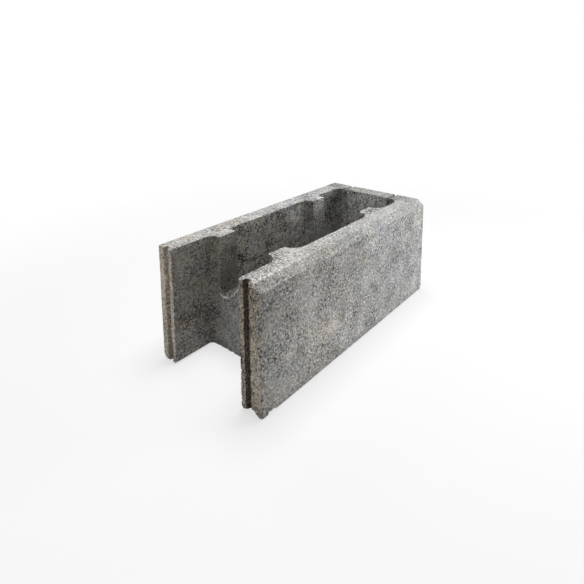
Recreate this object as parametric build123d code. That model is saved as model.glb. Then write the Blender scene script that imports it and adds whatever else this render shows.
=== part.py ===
from build123d import *
import os

# Overall size of the block, lying on its bed with the bar recess upwards
block_length = 500
block_width = 230
block_height = 200
arris = 2

# Walls: the facing wall in front, the rear wall behind, and the end wall that closes one end
facing_wall = 41
rear_wall = 35
end_wall = 35
facing_chamfer = 12

# Cross webs: the first stands back from the open end, the second from the end wall, measured at their tops
open_bay_length = 85.5
end_cell_length = 79.5
web_thickness = 39
web_spread = 4

# Cells: most corners are rounder at the top than at the bed, where the long walls' inner faces flare
facing_root = 23
rear_root = 15
rear_far_root = 8
bed_root = 9
rim_flare = 5

# Bar recess over the webs: stubs stay on the walls, two low seats lie beside them, a hump between
facing_stub = 24
rear_stub = 19
seat_height = 96
seat_corner = 6
hump_height = 136
seat_reach_share = 0.65
hump_reach_share = 0.15

# Upright key groove in each wall's end, at the open end
key_mouth = 11
key_floor = 7
key_depth = 7
key_lip = 9

# Score lines round the panel that can be knocked out of the end wall
score_depth = 4

# How far a cut runs past the face that it opens
overrun = 10

# Planes of the block's faces: the origin is on the bed, in the middle of the block
open_end = -block_length / 2
closed_end = block_length / 2
facing_face = -block_width / 2
rear_face = block_width / 2
facing_inner = facing_face + facing_wall
rear_inner = rear_face - rear_wall
end_inner = closed_end - end_wall
first_web_near = open_end + open_bay_length
first_web_far = first_web_near + web_thickness
second_web_far = end_inner - end_cell_length
second_web_near = second_web_far - web_thickness
facing_stub_face = facing_inner + facing_stub
rear_stub_face = rear_inner - rear_stub


def leaning(spread, level):
    """How far a face stands out at this level, if it spreads by so much from the top down to the bed."""
    return spread * (1 - level / block_height)


def rounding(root, level):
    """The radius of a cell's corner at this level, if it is so much at the top."""
    return bed_root + (root - bed_root) * level / block_height


def body():
    """The block without its cells: the facing wall's top edge is chamfered, other arrises are broken."""
    blank = Box(block_length, block_width, block_height, align=(Align.CENTER, Align.CENTER, Align.MIN))
    facing_edge = blank.edges().filter_by(Axis.X).group_by(Axis.Z)[-1].sort_by(Axis.Y)[0]
    blank = chamfer(facing_edge, facing_chamfer)
    long_edges = blank.edges().filter_by(Axis.X)
    chamfer_edges = long_edges.sort_by(Axis.Z)[2:].sort_by(Axis.Y)[:2]
    return chamfer(blank.edges() - chamfer_edges, arris)


def opening(level, start, finish):
    """A cell's outline at this level, between its two ends there: its corner behind a rear stub is tight."""
    flare = max(rim_flare - level, 0)
    facing = facing_inner - flare
    rear = rear_inner + flare
    facing_round = rounding(facing_root, level)
    rear_round = rounding(rear_root, level)
    rear_far_round = rounding(rear_far_root, level)
    outline = FilletPolyline(
        (start, facing),
        (finish, facing),
        (finish, rear),
        (start, rear),
        radius=[facing_round, facing_round, rear_round, rear_far_round],
        close=True,
    )
    return Pos(0, 0, level) * make_face(outline)


def core(start, finish, start_spread=web_spread, finish_spread=web_spread):
    """What leaves one cell open, with ends that lean as the webs' faces do."""
    sections = []
    for level in (-overrun, rim_flare, block_height + overrun):
        near = start + leaning(start_spread, level)
        far = finish - leaning(finish_spread, level)
        sections.append(opening(level, near, far))
    return loft(sections, ruled=True)


def cells():
    """The open bay, whose core starts far enough outside to leave its own corners there, and both cells."""
    open_bay = core(open_end - overrun - max(facing_root, rear_root), first_web_near, start_spread=0)
    middle_cell = core(first_web_far, second_web_near)
    end_cell = core(second_web_far, end_inner, finish_spread=0)
    return [open_bay, middle_cell, end_cell]


def bar_recess():
    """The recess for lengthwise bars: level seats beside the stubs that rise to a hump in the middle."""
    middle = (facing_stub_face + rear_stub_face) / 2
    half = (rear_stub_face - facing_stub_face) / 2
    rim = block_height + overrun
    lines = []
    for side in (-1, 1):
        stub = middle + side * half
        corner = stub - side * seat_corner
        seat_end = stub - side * half * seat_reach_share
        hump_start = middle + side * half * hump_reach_share
        lines.append(Line((stub, rim), (stub, seat_height + seat_corner)))
        lines.append(TangentArc((stub, seat_height + seat_corner), (corner, seat_height), tangent=(0, -1)))
        seat = [(corner, seat_height), (seat_end, seat_height)]
        hump = [(hump_start, hump_height), (middle, hump_height)]
        lines.append(Bezier(*seat, *hump))
    lines.append(Line((facing_stub_face, rim), (rear_stub_face, rim)))
    start = open_end - overrun
    finish = (second_web_far + end_inner) / 2
    section = Plane(origin=(start, 0, 0), x_dir=(0, 1, 0), z_dir=(1, 0, 0)) * make_face(lines)
    return extrude(section, finish - start)


def key_grooves():
    """The key grooves of the open end, each set back from its wall's inner face by the same lip."""
    flank = (key_mouth - key_floor) / 2
    grooves = []
    for inner, outward in ((facing_inner, -1), (rear_inner, 1)):
        near = inner + outward * key_lip
        far = near + outward * key_mouth
        outline = Polyline(
            (open_end - overrun, near),
            (open_end, near),
            (open_end + key_depth, near + outward * flank),
            (open_end + key_depth, far - outward * flank),
            (open_end, far),
            (open_end - overrun, far),
            close=True,
        )
        section = Pos(0, 0, -overrun) * make_face(outline)
        grooves.append(extrude(section, block_height + 2 * overrun, dir=(0, 0, 1)))
    return grooves


def score_lines():
    """V cuts over the end wall's top and down both its faces to the seats' level, in line with the stubs."""
    side = score_depth * 2 ** 0.5
    rise = block_height + overrun - seat_height
    cuts = []
    for line in (facing_stub_face, rear_stub_face):
        across = Rot(45, 0, 0) * Box(end_wall + 2 * overrun, side, side)
        cuts.append(Pos(end_inner + end_wall / 2, line, block_height) * across)
        for face in (end_inner, closed_end):
            down = Rot(0, 0, 45) * Box(side, side, rise)
            cuts.append(Pos(face, line, seat_height + rise / 2) * down)
    return cuts


formwork_block = body() - cells() - bar_recess() - key_grooves() - score_lines()

os.makedirs("parts", exist_ok=True)
export_step(formwork_block, "parts/formwork_block.step")
print("solids", len(formwork_block.solids()), "volume", round(formwork_block.volume))
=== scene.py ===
# %% [markdown]
# # Dressing a concrete formwork block
# The block was pressed from stiff concrete in a steel mould, pushed out while it was still damp and left to
# harden on a board. It has two long walls, a wall that closes one end, and two cross webs that are lower than
# the walls. The packed model has those shapes already, with crisp edges. This lesson keeps that model as its
# frame and lays a worn, pitted skin of concrete over it, so the frame is loaded before anything else.

# %% Load the frame
import math

import bpy
import numpy as np
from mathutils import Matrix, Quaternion, Vector, noise
from mathutils.bvhtree import BVHTree
from mathutils.kdtree import KDTree


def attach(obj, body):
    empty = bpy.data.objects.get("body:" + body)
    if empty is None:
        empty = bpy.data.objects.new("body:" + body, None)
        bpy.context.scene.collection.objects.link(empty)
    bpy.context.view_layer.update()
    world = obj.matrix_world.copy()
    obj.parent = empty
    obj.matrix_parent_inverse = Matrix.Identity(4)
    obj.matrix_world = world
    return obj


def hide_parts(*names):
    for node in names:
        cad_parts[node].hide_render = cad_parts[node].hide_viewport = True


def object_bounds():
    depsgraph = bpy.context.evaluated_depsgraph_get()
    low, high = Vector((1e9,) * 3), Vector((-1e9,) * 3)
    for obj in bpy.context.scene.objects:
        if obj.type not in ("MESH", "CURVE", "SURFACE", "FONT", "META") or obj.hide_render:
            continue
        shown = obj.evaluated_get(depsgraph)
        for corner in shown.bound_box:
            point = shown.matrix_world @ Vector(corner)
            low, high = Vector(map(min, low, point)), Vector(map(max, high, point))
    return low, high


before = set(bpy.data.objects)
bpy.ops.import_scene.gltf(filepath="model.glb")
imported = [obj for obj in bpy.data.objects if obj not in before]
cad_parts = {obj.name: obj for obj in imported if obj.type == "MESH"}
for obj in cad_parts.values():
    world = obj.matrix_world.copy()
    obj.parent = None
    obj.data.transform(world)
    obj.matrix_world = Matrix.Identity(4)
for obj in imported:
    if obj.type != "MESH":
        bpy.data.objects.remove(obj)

MM = 0.001


def in_mm(length):
    """A length in millimetres, for printing."""
    return round(float(length) / MM, 2)


cad_low, cad_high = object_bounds()
open_end, facing_face, bed = cad_low
closed_end, rear_face, top = cad_high
print("block of", [in_mm(side) for side in cad_high - cad_low], "mm")

# %% [markdown]
# ## Camera
# The picture looks over the near corner of the facing wall, at the open end, and its upright edges stay
# parallel. A camera that tilts down would make them lean. A lens that is shifted down keeps them upright, as
# an architect's camera does. The shift stays with the camera in every other view, so it is kept small enough
# for the whole block to fit there too, and the camera tilts by the few degrees that are left.

# %% Camera
PICTURE_SIDE = 584
FOCAL_PIXELS = 479.05
SENSOR = 36.0
LENS_SHIFT = -0.272
EYE = (-0.6750, -0.5333, 0.5008)
AZIMUTH = math.radians(-49.783)
TILT = math.radians(9.075)
ROLL = math.radians(-0.503)

lens = bpy.data.cameras.new("camera")
lens.sensor_width = SENSOR
lens.lens = SENSOR * FOCAL_PIXELS / PICTURE_SIDE
lens.shift_y = LENS_SHIFT

backward = Vector((
    math.sin(AZIMUTH) * math.cos(TILT),
    -math.cos(AZIMUTH) * math.cos(TILT),
    math.sin(TILT),
))
camera = bpy.data.objects.new("camera", lens)
camera.location = EYE
camera.rotation_mode = "QUATERNION"
camera.rotation_quaternion = (-backward).to_track_quat("-Z", "Y") @ Quaternion((0, 0, 1), ROLL)
bpy.context.scene.collection.objects.link(camera)
bpy.context.scene.camera = camera
bpy.context.scene.view_settings.view_transform = "Standard"
print("lens", round(lens.lens, 2), "mm, camera at", [round(c, 3) for c in camera.location])

# %% [markdown]
# ## Wires
# A concrete finish needs many small sums of noise, and a sum is easier to read as Python than as a heap of
# Math nodes. One small class holds a socket, and adding or multiplying two of them adds the Math node. Any
# other node comes from its one method, which takes the type, the settings and what goes into the sockets.

# %% A socket that can be added and multiplied


class Wire:
    """An output socket of a node tree. Arithmetic with numbers and other wires adds Math nodes."""

    def __init__(self, tree, socket=None):
        self.tree = tree
        self.socket = socket

    def node(self, kind, settings, sockets, output=0):
        """Adds a node: its settings are set first, then its sockets get values or wires."""
        made = self.tree.nodes.new(kind)
        for name, value in settings.items():
            setattr(made, name, value)
        for name, value in sockets.items():
            if isinstance(value, Wire):
                self.tree.links.new(value.socket, made.inputs[name])
            else:
                made.inputs[name].default_value = value
        return Wire(self.tree, made.outputs[output] if made.outputs else None)

    def math(self, operation, *values):
        return self.node("ShaderNodeMath", {"operation": operation}, dict(enumerate(values)))

    def __add__(self, other):
        return self.math("ADD", self, other)

    def __radd__(self, other):
        return self.math("ADD", other, self)

    def __sub__(self, other):
        return self.math("SUBTRACT", self, other)

    def __rsub__(self, other):
        return self.math("SUBTRACT", other, self)

    def __mul__(self, other):
        return self.math("MULTIPLY", self, other)

    def __rmul__(self, other):
        return self.math("MULTIPLY", other, self)

    def most(self, other):
        return self.math("MAXIMUM", self, other)

    def step(self, start, end):
        """Goes smoothly from 0 at start to 1 at end."""
        settings = {"interpolation_type": "SMOOTHSTEP"}
        sockets = {"Value": self, "From Min": start, "From Max": end}
        return self.node("ShaderNodeMapRange", settings, sockets)

    def between(self, first, second):
        """The first colour where this mask is 0, the second where it is 1."""
        return self.node("ShaderNodeMix", {"data_type": "RGBA"}, {0: self, 6: first, 7: second}, output=2)

    def times(self, tint, share=1.0):
        """This colour multiplied by a tint, as far as a share or a mask says."""
        settings = {"data_type": "RGBA", "blend_type": "MULTIPLY"}
        return self.node("ShaderNodeMix", settings, {0: share, 6: self, 7: tint}, output=2)


def fresh_tree(owner):
    """Empties the node tree of a material or world and returns a wire to start from."""
    owner.use_nodes = True
    owner.node_tree.nodes.clear()
    return Wire(owner.node_tree)


print("a wire can", [name.strip("_") for name in vars(Wire) if callable(getattr(Wire, name))][1:])

# %% [markdown]
# ## Floor and backdrop
# The block stands on plain white with only its shadow. A white floor also throws light up on the walls, which
# is what lights the lower half of a face. Here the floor bounces light as matt white paint does, and the
# camera sees it as pure white wherever no shadow falls. Far from the block it fades to the white of the
# backdrop, so no horizon shows.

# %% Floor and backdrop
FLOOR_SIDE = 12.0
FADE_START = 0.45
FADE_END = 1.1
WHITE_SHARE = 0.66
DOME_STRENGTH = 0.05
PURE_WHITE = (1.0, 1.0, 1.0, 1.0)
BOUNCE_WHITE = (0.80, 0.80, 0.80, 1.0)


def seen_directly(start):
    """1 for what the camera sees, itself or in a shiny or clear surface, and 0 for light that bounces."""
    camera_ray = start.node("ShaderNodeLightPath", {}, {}, output="Is Camera Ray")
    glossy_ray = start.node("ShaderNodeLightPath", {}, {}, output="Is Glossy Ray")
    clear_ray = start.node("ShaderNodeLightPath", {}, {}, output="Is Transmission Ray")
    return camera_ray.most(glossy_ray).most(clear_ray)


half = FLOOR_SIDE / 2
floor_corners = [(-half, -half, bed), (half, -half, bed), (half, half, bed), (-half, half, bed)]
floor_mesh = bpy.data.meshes.new("floor")
floor_mesh.from_pydata(floor_corners, [], [(0, 1, 2, 3)])
floor = bpy.data.objects.new("floor", floor_mesh)
bpy.context.scene.collection.objects.link(floor)

floor_paint = bpy.data.materials.new("floor_paint")
start = fresh_tree(floor_paint)
spot = start.node("ShaderNodeTexCoord", {}, {}, output="Object")
reach = start.node("ShaderNodeVectorMath", {"operation": "LENGTH"}, {0: spot}, output="Value")
seen = seen_directly(start)
matt = start.node("ShaderNodeBsdfDiffuse", {}, {"Color": seen.between(BOUNCE_WHITE, PURE_WHITE)})
glow = start.node("ShaderNodeEmission", {}, {"Color": PURE_WHITE, "Strength": 1.0})
fade = (WHITE_SHARE + (1 - WHITE_SHARE) * reach.step(FADE_START, FADE_END)) * seen
shown = start.node("ShaderNodeMixShader", {}, {0: fade, 1: matt, 2: glow})
start.node("ShaderNodeOutputMaterial", {}, {"Surface": shown})
floor_mesh.materials.append(floor_paint)

backdrop = bpy.data.worlds.new("backdrop")
bpy.context.scene.world = backdrop
start = fresh_tree(backdrop)
strength = DOME_STRENGTH + (1 - DOME_STRENGTH) * seen_directly(start)
sky = start.node("ShaderNodeBackground", {}, {"Color": PURE_WHITE, "Strength": strength})
start.node("ShaderNodeOutputWorld", {}, {"Surface": sky})
print("floor", FLOOR_SIDE, "m wide, white beyond", FADE_END, "m, dome at", DOME_STRENGTH)

# %% [markdown]
# ## Softboxes
# The tops of the walls are the brightest faces, the cells are dark, and the facing wall grows brighter
# towards its closed end. One softbox straight overhead gives the bright tops and leaves the cells dark. A
# second stands low beyond the closed end, on the facing side, close enough for its light to fall off along
# the wall. Two weak ones, high at the open end and behind, keep the other faces from going flat.

# %% Softboxes


def softbox(name, place, aim, side, watts):
    """A square lamp that stands at a place and looks at a point. All lengths are in metres."""
    light = bpy.data.lights.new(name, "AREA")
    light.shape = "RECTANGLE"
    light.size = side
    light.size_y = side
    light.energy = watts
    lamp = bpy.data.objects.new(name, light)
    lamp.location = place
    lamp.rotation_mode = "QUATERNION"
    lamp.rotation_quaternion = (Vector(aim) - Vector(place)).to_track_quat("-Z", "Y")
    lamp.visible_camera = False
    bpy.context.scene.collection.objects.link(lamp)
    return lamp


BLOCK_MIDDLE = (0.0, 0.0, 0.1)
softboxes = [
    softbox("overhead", place=(0.15, 0.0, 1.8), aim=(0.15, 0.0, 0.1), side=0.8, watts=23.2),
    softbox("closed_end_low", place=(0.7, -0.7, 0.3), aim=(0.25, -0.115, 0.1), side=0.5, watts=4.15),
    softbox("open_end_high", place=(-1.2, 0.3, 1.3), aim=BLOCK_MIDDLE, side=0.9, watts=2.8),
    softbox("behind", place=(0.3, 1.3, 1.2), aim=BLOCK_MIDDLE, side=0.9, watts=5.0),
]
print("softboxes", [(lamp.name, round(lamp.data.energy, 2)) for lamp in softboxes])

# %% [markdown]
# ## The skin
# Pressed concrete has pits in every face and crumbs missing from every edge. To give the block such a surface
# its mesh needs small, even faces all over. Subdividing the CAD mesh would leave long thin faces, so a remesh
# wraps a new skin round it, in the kind that keeps edges sharp. The CAD node itself stays as it is.

# %% A fine skin round the block
CELL = 1.35 * MM
GRID_DEPTH = 9


def settle(piece):
    """Makes a piece's modifiers part of its mesh."""
    graph = bpy.context.evaluated_depsgraph_get()
    mesh = bpy.data.meshes.new_from_object(piece.evaluated_get(graph))
    piece.modifiers.clear()
    piece.data = mesh


def rows(mesh, what):
    """What each point of a mesh has, its place (co) or the way it faces (normal), as rows of x, y and z."""
    flat = np.empty(len(mesh.vertices) * 3, np.float32)
    mesh.vertices.foreach_get(what, flat)
    return flat.reshape(-1, 3).astype(float)


cad_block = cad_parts["formwork_block"]
block = bpy.data.objects.new("cast_block", cad_block.data.copy())
bpy.context.scene.collection.objects.link(block)
wrap = block.modifiers.new("wrap", "REMESH")
wrap.mode = "SHARP"
wrap.octree_depth = GRID_DEPTH
wrap.scale = max(cad_high - cad_low) / (2 ** GRID_DEPTH * CELL)
settle(block)
points = rows(block.data, "co")
print("skin of", len(points), "points")

# %% [markdown]
# ## Broken corners
# A block this heavy loses its corners when it is stacked and dropped. Each break on the real one is a shallow
# scoop, so each is cut here with a ball: points of the skin that lie inside the ball are pushed out to its
# surface, which is into the block. Lumpy noise on the ball's radius makes the break rough.

# %% Broken corners
LUMP_SIZE = 5 * MM
LUMP_SHARE = 0.12
SEED_SHIFT = 19.7


def lumps(at, size, seed):
    """Smooth noise from -1 to 1 at each point, with lumps of about this size."""
    return np.array([noise.noise(p) for p in (at / size + SEED_SHIFT * seed).tolist()])


def scoop(at, centre, radius, seed):
    """Pushes the points inside a ball out to its lumpy surface."""
    offset = at - np.array(centre)
    distance = np.linalg.norm(offset, axis=1)
    near = np.flatnonzero(distance < radius * (1 + LUMP_SHARE))
    lumpy = radius * (1 + LUMP_SHARE * lumps(at[near], LUMP_SIZE, seed))
    at[near] += offset[near] / distance[near, None] * np.maximum(lumpy - distance[near], 0)[:, None]
    return len(near)


facing_wall = 41 * MM
rear_wall = 35 * MM
end_wall = 35 * MM
facing_inner = facing_face + facing_wall
rear_inner = rear_face - rear_wall
end_inner = closed_end - end_wall
broken = [
    ("facing wall's end, at the bed", (open_end - 8 * MM, facing_face + 22 * MM, bed - 10 * MM), 20 * MM),
    ("facing wall's foot", (open_end + 21 * MM, facing_face - 7 * MM, bed - 11 * MM), 18 * MM),
    ("rear wall's outer foot", (open_end - 5 * MM, rear_face + 5 * MM, bed - 5 * MM), 14 * MM),
    ("far foot of the facing wall", (closed_end + 5 * MM, facing_face - 5 * MM, bed - 5 * MM), 14 * MM),
    ("rear wall's outer top", (open_end - 5 * MM, rear_face + 5 * MM, top + 5 * MM), 10.5 * MM),
    ("facing wall's inner top", (open_end - 5 * MM, facing_inner + 3 * MM, top + 5 * MM), 9 * MM),
]
for seed, (where, centre, radius) in enumerate(broken):
    print(where, "moved", scoop(points, centre, radius, seed), "points")

# %% [markdown]
# ## Worn edges
# Along every edge the paste crumbles unevenly: some stretches stay crisp and others lose about a millimetre.
# A bevel would be the same all along. Instead the skin is smoothed in a copy, which pulls edges in and leaves
# flat faces alone, and each point moves part of the way to the copy, by noise. Points only ever move inwards,
# so the block never grows past its frame.

# %% Worn edges
CRUMB_SIZE = 3.6 * MM
CRUMB_ROUNDS = 5
NIBBLE_SIZE = 15 * MM
NIBBLE_ROUNDS = 16
EDGE_SINKS = 0.25 * MM


def put(mesh, at):
    """Moves the points of a mesh."""
    mesh.vertices.foreach_set("co", at.astype(np.float32).ravel())
    mesh.update()


def wear(at, rounds, share):
    """Moves each point a share of the way to a smoothed copy of the skin, where that is inwards."""
    put(block.data, at)
    smoother = block.modifiers.new("smoother", "SMOOTH")
    smoother.factor = 0.5
    smoother.iterations = rounds
    graph = bpy.context.evaluated_depsgraph_get()
    pull = rows(block.evaluated_get(graph).data, "co") - at
    block.modifiers.clear()
    sunk = -np.einsum("ij,ij->i", pull, rows(block.data, "normal"))
    at += pull * (share * (sunk > 0))[:, None]
    print("wear of up to", in_mm((sunk * share).max()), "mm")
    return sunk


crumbs = np.clip(0.1 + 1.2 * lumps(points, CRUMB_SIZE, 11), 0, 1)
on_edges = np.flatnonzero(wear(points, CRUMB_ROUNDS, crumbs) > EDGE_SINKS)
nibbles = np.clip(2.4 * lumps(points, NIBBLE_SIZE, 12) - 1.0, 0, 1)
wear(points, NIBBLE_ROUNDS, nibbles)
print("edges have", len(on_edges), "points")

# %% [markdown]
# ## Pits and unevenness
# Stiff concrete doesn't fill the mould completely. Small voids stay open on every face and most of all along
# the edges, and the faces bow by a few tenths of a millimetre. Voids are drawn as round dents at seeded
# random points of the skin, a few large ones and many small ones. Finer grain than this is too small for a
# mesh, so it is left to bump.

# %% Pits and unevenness
PIT_SMALLEST = 1.6 * MM
RIPPLE = 0.35 * MM
RIPPLE_SIZE = 55 * MM
GRIT = 0.15 * MM
GRIT_SIZE = 4 * MM

put(block.data, points)
facing = rows(block.data, "normal")
lookup = KDTree(len(points))
for index, point in enumerate(points.tolist()):
    lookup.insert(point, index)
lookup.balance()

draw = np.random.default_rng(41)
depth = np.zeros(len(points))


def pit(places, count, largest, depth_share):
    """Dents the skin at random ones of these points."""
    for index in draw.choice(places, count, replace=False):
        radius = PIT_SMALLEST + (largest - PIT_SMALLEST) * draw.random() ** 3
        for _, other, distance in lookup.find_range(points[index], radius):
            dent = depth_share * radius * (1 - (distance / radius) ** 2)
            depth[other] = max(depth[other], dent)


pit(len(points), count=700, largest=4.4 * MM, depth_share=0.45)
pit(on_edges, count=420, largest=2.8 * MM, depth_share=0.5)
depth += RIPPLE * (0.5 + 0.5 * lumps(points, RIPPLE_SIZE, 21))
depth += GRIT * (0.5 + 0.5 * lumps(points, GRIT_SIZE, 22))
points -= facing * depth[:, None]
put(block.data, points)
print("mean depth", in_mm(depth.mean()), "mm, deepest", in_mm(depth.max()), "mm")

# %% [markdown]
# ## Fewer faces
# Flat stretches don't need faces as small as the edges and pits do. Collapsing edges thins the mesh where it
# is plain, and brings the piece under its limit of faces.

# %% Fewer faces
MOST_TRIANGLES = 190000
SHARP_ANGLE = math.radians(33)

block.data.calc_loop_triangles()
before = len(block.data.loop_triangles)
thinner = block.modifiers.new("thinner", "DECIMATE")
thinner.ratio = min(1.0, MOST_TRIANGLES / before)
settle(block)
block.data.shade_smooth()
block.data.set_sharp_from_angle(angle=SHARP_ANGLE)
block.data.calc_loop_triangles()
print("triangles", before, "to", len(block.data.loop_triangles))

# %% [markdown]
# ## Where each finish goes
# The open end's strips are dusty and brown, the inner walls get painted shade, and the webs are smooth from
# the mould. The finish has to know which face it is on. Each point of the skin looks up the nearest point of
# the crisp CAD node, takes that face's direction and keeps the answer as a mask, which the material reads.

# %% Nearest face of each point
FLAT = 0.985
BENT = 0.885


def ramp(values, start, end):
    """Goes evenly from 0 at start to 1 at end, which may be the lower of the two."""
    return np.clip((values - start) / (end - start), 0, 1)


points = rows(block.data, "co")
corners = [vertex.co for vertex in cad_block.data.vertices]
crisp = BVHTree.FromPolygons(corners, [tuple(face.vertices) for face in cad_block.data.polygons])
hits = [crisp.find_nearest(point) for point in points.tolist()]
along, across, level = np.array([hit[0] for hit in hits]).T
toward = np.array([hit[1] for hit in hits])
lost = np.array([hit[3] for hit in hits])
run = along - open_end
rise = level - bed
drop = top - level
bent = ramp(np.einsum("ij,ij->i", toward, rows(block.data, "normal")), FLAT, BENT)
print("points stand up to", in_mm(lost.max()), "mm off the crisp block")

# %% Walls and tops
SLACK = 0.6 * MM
COLLAR = 14 * MM
SQUARE_ON = 0.9
UPWARD = 0.7
DIAGONAL = 0.6
first_web = 85.5 * MM
second_web = 346.5 * MM
web_thickness = 39 * MM


def percent(mask):
    """How much of the points a mask covers, for printing."""
    return round(float(mask.mean()) * 100, 1)


way_x, way_y, way_z = toward.T
cavity = (across > facing_inner - SLACK) & (across < rear_inner + SLACK) & (along < end_inner + SLACK)
inside = cavity & (way_z < UPWARD) & ((way_x > -SQUARE_ON) | (run > COLLAR))
rear_wall_face = cavity & (across > rear_inner - SLACK) & (way_y < -SQUARE_ON)
middle_rear = rear_wall_face & (run > first_web) & (run < second_web)
end_cell_rear = rear_wall_face & (run > second_web + web_thickness)
wall_top = (way_z > SQUARE_ON) & (drop < SLACK)
end_top = wall_top & (along > end_inner)
facing_top = wall_top & (across < facing_inner)
front = (way_y < -SQUARE_ON) & (across < facing_inner)
chamfer = (across < facing_inner) & (way_y < -DIAGONAL) & (way_z > DIAGONAL)
print("inside", percent(inside), "% of the points, tops", percent(wall_top), "%, front", percent(front), "%")

# %% Webs and stubs
SLOPING = 0.3
facing_stub = facing_inner + 24 * MM
rear_stub = rear_inner - 19 * MM
seat_rise = 96 * MM

between_stubs = (across > facing_stub - SLACK) & (across < rear_stub + SLACK)
upright_across = cavity & (np.abs(way_x) > SQUARE_ON) & (run > SLACK)
web_face = upright_across & (along < end_inner - SLACK) & (between_stubs | (rise < seat_rise))
end_inner_face = upright_across & (along > end_inner - SLACK)
web_top = cavity & (way_z > SLOPING) & (drop > COLLAR) & (rise > COLLAR)
off_stub_lines = np.minimum(np.abs(across - facing_stub), np.abs(across - rear_stub))
stub_face = cavity & (off_stub_lines < SLACK) & (np.abs(way_y) > SQUARE_ON)
stub_face &= (rise > seat_rise) & (along < end_inner - COLLAR)
near_stub = stub_face & (along < 0)
far_stub = stub_face & (along > 0)
print("web faces", percent(web_face), "%, web tops", percent(web_top), "%, stubs", percent(stub_face), "%")

# %% Strips of the open end and score lines
KEY_DEPTH = 7 * MM
KEY_LIP = 9 * MM
KEY_MOUTH = 11 * MM
SCORE_REACH = 4.5 * MM

at_end = run < KEY_DEPTH + SLACK
strip = at_end & (way_x < -SQUARE_ON)
rear_strip = strip & (across > 0)
facing_strip = strip & (across < 0)
rear_lip = rear_strip & (across < rear_inner + KEY_LIP + SLACK)
facing_lip = facing_strip & (across > facing_inner - KEY_LIP - SLACK)
in_groove = at_end & (run > SLACK)
half_key = KEY_MOUTH / 2
facing_key = in_groove & (np.abs(across - (facing_inner - KEY_LIP - half_key)) < half_key + SLACK)
rear_key = in_groove & (np.abs(across - (rear_inner + KEY_LIP + half_key)) < half_key + SLACK)
scored = (off_stub_lines < SCORE_REACH) & (np.abs(way_y) > DIAGONAL) & (along > end_inner - SCORE_REACH)
grooves = facing_key | rear_key
print("strips", percent(strip), "%, grooves", percent(grooves), "%, scores", percent(scored), "%")

# %% [markdown]
# The seat of the first web has a thin bright rim along its front edge, a painted highlight where that edge
# catches the light from above. It follows the seat's curve, so it is found by distance: a web face's points
# look up the nearest point of the seat's front edge, and noise makes the rim ragged.

# %% Rim of the first seat
RIM_WIDTH = 2.8 * MM
RIM_FADE = 1.2 * MM
RIM_LUMP = 5 * MM

at_first_web = run < first_web + SLACK
seat_edge = np.flatnonzero(web_top & at_first_web)
edge_lookup = KDTree(len(seat_edge))
for index in seat_edge:
    edge_lookup.insert(points[index], index)
edge_lookup.balance()

below_edge = np.full(len(points), math.inf)
for index in np.flatnonzero(upright_across & at_first_web & between_stubs):
    below_edge[index] = edge_lookup.find(points[index])[2]
ragged_width = RIM_WIDTH * (1 + 0.7 * lumps(points, RIM_LUMP, 32))
rim = ramp(ragged_width - below_edge, 0, RIM_FADE)
# The painted highlight is strongest where the seat's edge rounds over.
rim[seat_edge] = np.maximum(rim[seat_edge], ramp(bent[seat_edge], 0.2, 0.6))
print("rim on", int((rim > 0).sum()), "points, edge of", len(seat_edge))

# %% [markdown]
# The masks say how far each tint goes, from 0 to 1. Faces inside the cells get painted shade, darkest low on
# the far stub, while the web faces came smooth and paler off the mould and get less of it. The facing wall
# and its chamfer are also darker at the open end, and so is the end wall's top. The seats are darkened, and
# the grooves, the score lines and the foot of the near stub get painted shade. Each mask is painted face over
# face, as with
# masking tape: where two layers name a point, the later one holds.

# %% Painted shade, brown, and grime with painted shade


def painted(*layers):
    """A mask of faces painted one over another, each with an amount for all points or one for each."""
    mask = np.zeros(len(points))
    for faces, amount in layers:
        mask = np.where(faces, amount, mask)
    return mask


def fading(length):
    """1 at the open end, fading along the block over about this length."""
    return np.exp(-run / length)


# Painted shade in the cells, lighter on the web faces and darker lower down the far stub; the facing wall and
# its chamfer at the open end and the end wall's top are darker too.
shade_and_dull = painted(
    (inside, 1.0),
    (middle_rear, 0.85),
    (end_cell_rear, 0.95),
    (web_face, 0.45),
    (end_inner_face, 0.15),
    (end_top, 0.6),
    (far_stub, 0.3 + 0.65 * ramp(drop, 4 * MM, 45 * MM)),
)
shade_and_dull *= 1 - rim
shade_and_dull += front * fading(30 * MM) * (0.35 + 0.6 * ramp(rise, 80 * MM, 130 * MM))
shade_and_dull += 0.5 * chamfer * fading(80 * MM)

brown = painted(
    (inside, 0.55),
    (middle_rear, 0.45),
    (facing_strip, 0.35),
    (web_face | stub_face | end_cell_rear | web_top, 0.0),
)

# The seats are darkened; the facing groove, the score lines and the foot of the near stub get painted shade.
grime_and_shade = painted(
    (web_top, 1.0),
    (facing_key, 1.0),
    (rear_key, 0.05),
    (end_cell_rear, 0.2),
    (scored, np.where(drop < COLLAR, 0.8, 0.1)),
    (near_stub, 0.5 * ramp(drop, 12 * MM, 30 * MM)),
)
grime_and_shade *= 1 - rim
print("shade_and_dull", percent(shade_and_dull), "% brown", percent(brown), "% grimy", percent(grime_and_shade), "%")

# %% [markdown]
# Pale paste is left on the strips and in clouds on the facing wall, where one warm stain spreads too. The
# tops of the inner walls, of the end wall's inner face and of the far stub are lightened as painted light,
# where more light falls near the open top. Concrete has no edges between such clouds, so each is a soft round
# patch, placed by its run from the open end and its rise from the bed.

# %% Pale paste, painted light and the stain
STAIN_MIDDLE = (158, 68)
STAIN_REACH = (45, 26)
STAIN_LUMP = 11 * MM


def patch(middle, reach):
    """A soft patch, 1 in its middle. Its run and rise, and its reach along both, are in millimetres."""
    aside = (run / MM - middle[0]) / reach[0]
    above = (rise / MM - middle[1]) / reach[1]
    return np.exp(-aside ** 2 - above ** 2)


# Pale paste on the strips, and painted light at the tops of the inner walls, the end wall's inner face and
# the far stub.
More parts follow.
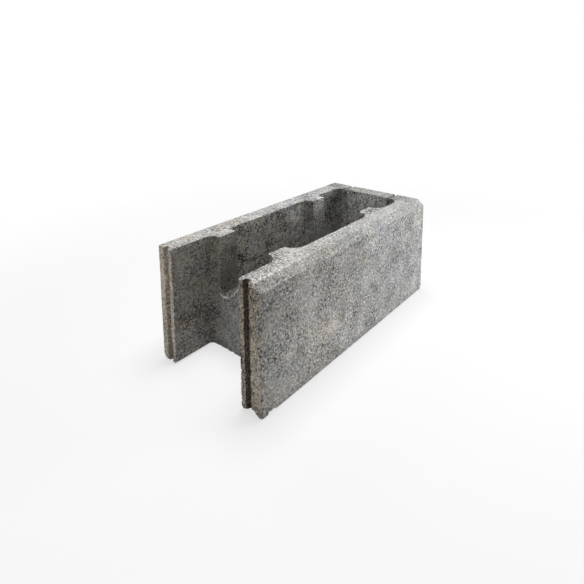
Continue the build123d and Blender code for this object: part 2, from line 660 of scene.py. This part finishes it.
pale_paste_and_light = painted(
    (inside, 0.24 * ramp(drop, COLLAR, COLLAR - 3 * MM)),
    (end_inner_face, 0.1 + 0.7 * ramp(drop, 50 * MM, 12 * MM)),
    (far_stub, 0.9 * ramp(drop, 40 * MM, 4 * MM)),
    (rear_strip, 0.85),
    (rear_lip, 0.9),
    (facing_strip & ~facing_lip, 0.15),
)
pale_paste_and_light += facing_top * (0.5 * fading(170 * MM) + 0.08 * ramp(run, 150 * MM, 420 * MM))
pale_paste_and_light += 0.26 * front * ramp(run, 130 * MM, 330 * MM) * ramp(drop, 60 * MM, 20 * MM)
clouds = [
    ("rear wall of the middle cell", middle_rear, 0.5, (310, 178), (35, 25)),
    ("middle of the facing wall", front, 0.24, (250, 60), (110, 70)),
    ("round the stain", front, 0.34, (160, 60), (60, 60)),
    ("high on the facing wall", front, 0.42, (320, 165), (40, 25)),
    ("foot of the facing wall", front, 0.16, (270, 0), (150, 40)),
]
for where, faces, amount, middle, reach in clouds:
    cloud = amount * faces * patch(middle, reach)
    pale_paste_and_light += cloud
    print("cloud,", where, "adds up to", round(float(cloud.max()), 2))

blotches = np.clip(0.6 + 1.6 * lumps(points, STAIN_LUMP, 31), 0, 1)
stain = 0.6 * front * patch(STAIN_MIDDLE, STAIN_REACH) * blotches
print("stain of up to", round(float(stain.max()), 2), "on", percent(stain > 0.05), "% of the points")

# %% [markdown]
# Some faces differ in grain more than in colour. The inner walls are clumped, and the facing wall's top and
# its chamfer were tamped smoother towards the closed end. The block is also warmer at its open end, where
# dust clings to the strips, and cleaner and bluer at the other. All the masks are then kept on the points.

# %% Grain, dust and breaks
TAMPED_FROM = 40 * MM
TAMPED_TO = 300 * MM
CLEAN_FROM = 140 * MM
CLEAN_TO = 310 * MM
BREAK_SHALLOW = 1.2 * MM
BREAK_DEEP = 2.7 * MM

tamping = ramp(run, TAMPED_FROM, TAMPED_TO)
masks = {
    "shade_and_dull": shade_and_dull,
    "brown": brown,
    "grime_and_shade": grime_and_shade,
    "pale_paste_and_light": pale_paste_and_light,
    "rim": rim,
    "stain": stain,
    "open_end": painted((strip | grooves, 1.0), (rear_lip, 0.7)),
    "clean": np.where(web_face, 1.0, ramp(run, CLEAN_FROM, CLEAN_TO)),
    "web_face": 1.0 * web_face,
    "clumped": painted(
        (inside, 0.3),
        (middle_rear, 1.3),
        (end_cell_rear | end_inner_face, 0.8),
        (facing_strip, 0.7),
        (wall_top & ~facing_top, 0.55),
    ),
    "tamped": painted(
        (wall_top, 0.05),
        (facing_top, 1.2 * tamping - 0.3),
        (chamfer, 0.5 * tamping + 0.3),
    ),
    "broken": ramp(lost, BREAK_SHALLOW, BREAK_DEEP),
    "edge": bent,
}
for name, values in masks.items():
    mask = block.data.attributes.new(name, "FLOAT", "POINT")
    mask.data.foreach_set("value", values.astype(np.float32))
    print("mask", name, "covers", percent(values), "% of the points")

# %% [markdown]
# ## Concrete
# Up close the finish is sand and small stone in grey cement: dark and pale grains of 1 to 4 mm, open pores,
# and clouds of bluish and beige grey from a few centimetres down to the size of a grain. Each of these is a
# noise in the block's own space, so the grain runs round the edges as it does in a real casting and needs
# no unwrapping. The noises come first, then the colour and the bump that are made of them.

# %% Noises of the concrete
WANDER = 1.8 * MM
concrete = bpy.data.materials.new("concrete")
start = fresh_tree(concrete)
place = start.node("ShaderNodeTexCoord", {}, {}, output="Object")


def noise_of(scale, detail, roughness, shift, output="Fac"):
    """Noise from 0 to 1 in the block's space, with so many lumps to a metre."""
    moved = start.node("ShaderNodeVectorMath", {"operation": "ADD"}, {0: place, 1: (shift, shift, shift)})
    sockets = {"Vector": moved, "Scale": scale, "Detail": detail, "Roughness": roughness}
    return start.node("ShaderNodeTexNoise", {}, sockets, output=output)


def cells_of(scale, at):
    """Cells, so many to a metre: the distance from a cell's middle, and two random tones for each cell."""
    sockets = {"Vector": at, "Scale": scale}
    distance = start.node("ShaderNodeTexVoronoi", {}, sockets, output="Distance")
    colour = start.node("ShaderNodeTexVoronoi", {}, sockets, output="Color")
    first_tone = start.node("ShaderNodeSeparateColor", {}, {"Color": colour}, output="Red")
    second_tone = start.node("ShaderNodeSeparateColor", {}, {"Color": colour}, output="Green")
    return distance, first_tone, second_tone


def mask_of(name):
    """A mask that was kept on the points."""
    return start.node("ShaderNodeAttribute", {"attribute_name": name}, {}, output="Fac")


mottle = noise_of(scale=24, detail=4.0, roughness=0.6, shift=7.0)
clumps = noise_of(scale=85, detail=3.0, roughness=0.75, shift=6.0)
grit = noise_of(scale=260, detail=3.0, roughness=0.85, shift=5.0)
hue = noise_of(scale=34, detail=4.0, roughness=0.7, shift=1.0)
stains = noise_of(scale=17, detail=3.0, roughness=0.6, shift=2.0)
voids = noise_of(scale=300, detail=3.0, roughness=0.7, shift=8.0)
openness = noise_of(scale=17, detail=3.0, roughness=0.55, shift=3.0)
wander = noise_of(scale=500, detail=1.0, roughness=0.5, shift=4.0, output="Color")
sockets = {0: wander, 1: (WANDER, WANDER, WANDER), 2: place}
ragged = start.node("ShaderNodeVectorMath", {"operation": "MULTIPLY_ADD"}, sockets)
stone_gap, stone_tone, stone_pick = cells_of(280, ragged)
sand_gap, sand_tone, sand_pick = cells_of(520, ragged)

open_patch = openness.step(0.38, 0.62).most(mask_of("edge"))
pores = (voids + 0.03 * open_patch).step(0.60, 0.66)
specks = (0.54 * stone_tone - stone_gap).step(0.0, 0.08) * stone_pick.step(0.45, 0.50)
print("noises use", len(concrete.node_tree.nodes), "nodes")

# %% Grey of the grains
DARK_CEMENT = (0.062, 0.062, 0.063, 1.0)
PALE_CEMENT = (0.930, 0.923, 0.906, 1.0)

clumped = mask_of("clumped")
tamped = mask_of("tamped")
calm = 0.4 * mask_of("web_face") + 0.5 * tamped
grip = (1.04 + 0.46 * open_patch) * (1 + 0.35 * clumped - calm)
grains = 1.05 * (grit - 0.5) + 0.48 * (sand_tone - 0.5) + 0.58 * specks
mottling = (0.85 + 0.7 * clumped - 0.5 * tamped) * (mottle - 0.5)
grey = 0.50 + grip * grains + mottling + 1.6 * clumped * (clumps - 0.5)
colour = grey.between(DARK_CEMENT, PALE_CEMENT)
print("grey brings the nodes to", len(concrete.node_tree.nodes))

# %% [markdown]
# Over the grey lie the tints. Each multiplies the colour below it, as a thin wash does, as far as its mask
# says, so the grain shows through all of them. A tint above 1 brightens.

# %% Tints over the grey
COOL = (0.975, 1.0, 1.035, 1.0)
WARM = (1.025, 1.0, 0.95, 1.0)
BEIGE = (1.04, 0.94, 0.83, 1.0)
STAIN = (1.09, 0.99, 0.88, 1.0)
# Painted shade for the cells, and a darker tone on a few outer faces.
SHADE_AND_DULL = (0.62, 0.61, 0.585, 1.0)
BROWN = (0.95, 0.86, 0.76, 1.0)
# Brightens pale paste, and paints light at the tops of the inner faces.
PALE_PASTE_AND_LIGHT = (1.5, 1.5, 1.5, 1.0)
# Painted highlight along the first seat's front edge.
RIM_HIGHLIGHT = (2.7, 2.7, 2.7, 1.0)
DUST = (1.05, 0.96, 0.84, 1.0)
# Darkens the seats, and paints shade into the grooves, the score lines and the foot of the near stub.
GRIME_AND_SHADE = (0.41, 0.40, 0.385, 1.0)
BREAK = (0.88, 0.82, 0.74, 1.0)
PORE_SHADE = (0.16, 0.155, 0.145, 1.0)

warmth = 0.46 + 0.6 * hue.step(0.36, 0.64) - 0.43 * mask_of("clean")
colour = colour.times(warmth.between(COOL, WARM))
washes = [
    (BEIGE, 0.6 * stains.step(0.55, 0.72)),
    (STAIN, mask_of("stain")),
    (SHADE_AND_DULL, mask_of("shade_and_dull")),
    (BROWN, mask_of("brown") * hue.step(0.46, 0.66)),
    (PALE_PASTE_AND_LIGHT, mask_of("pale_paste_and_light")),
    (RIM_HIGHLIGHT, mask_of("rim")),
    (DUST, mask_of("open_end")),
    (GRIME_AND_SHADE, mask_of("grime_and_shade")),
    (BREAK, mask_of("broken")),
    (PORE_SHADE, 0.9 * pores),
]
for tint, share in washes:
    colour = colour.times(tint, share)
print("tints bring the nodes to", len(concrete.node_tree.nodes))

# %% Bump and paste
sand = (0.62 - sand_gap) * sand_pick
height = grip * (1.0 * grit + 0.6 * specks + 0.4 * sand) - 1.2 * pores
sockets = {"Height": height, "Distance": MM, "Strength": 1.0}
bump = start.node("ShaderNodeBump", {}, sockets, output="Normal")
paste = start.node("ShaderNodeBsdfPrincipled", {}, {
    "Base Color": colour,
    "Roughness": 0.93,
    "Specular IOR Level": 0.25,
    "Normal": bump,
})
start.node("ShaderNodeOutputMaterial", {}, {"Surface": paste})
block.data.materials.clear()
block.data.materials.append(concrete)
print("concrete of", len(concrete.node_tree.nodes), "nodes")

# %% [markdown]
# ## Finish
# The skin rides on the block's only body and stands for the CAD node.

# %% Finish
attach(block, "root")
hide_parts("formwork_block")
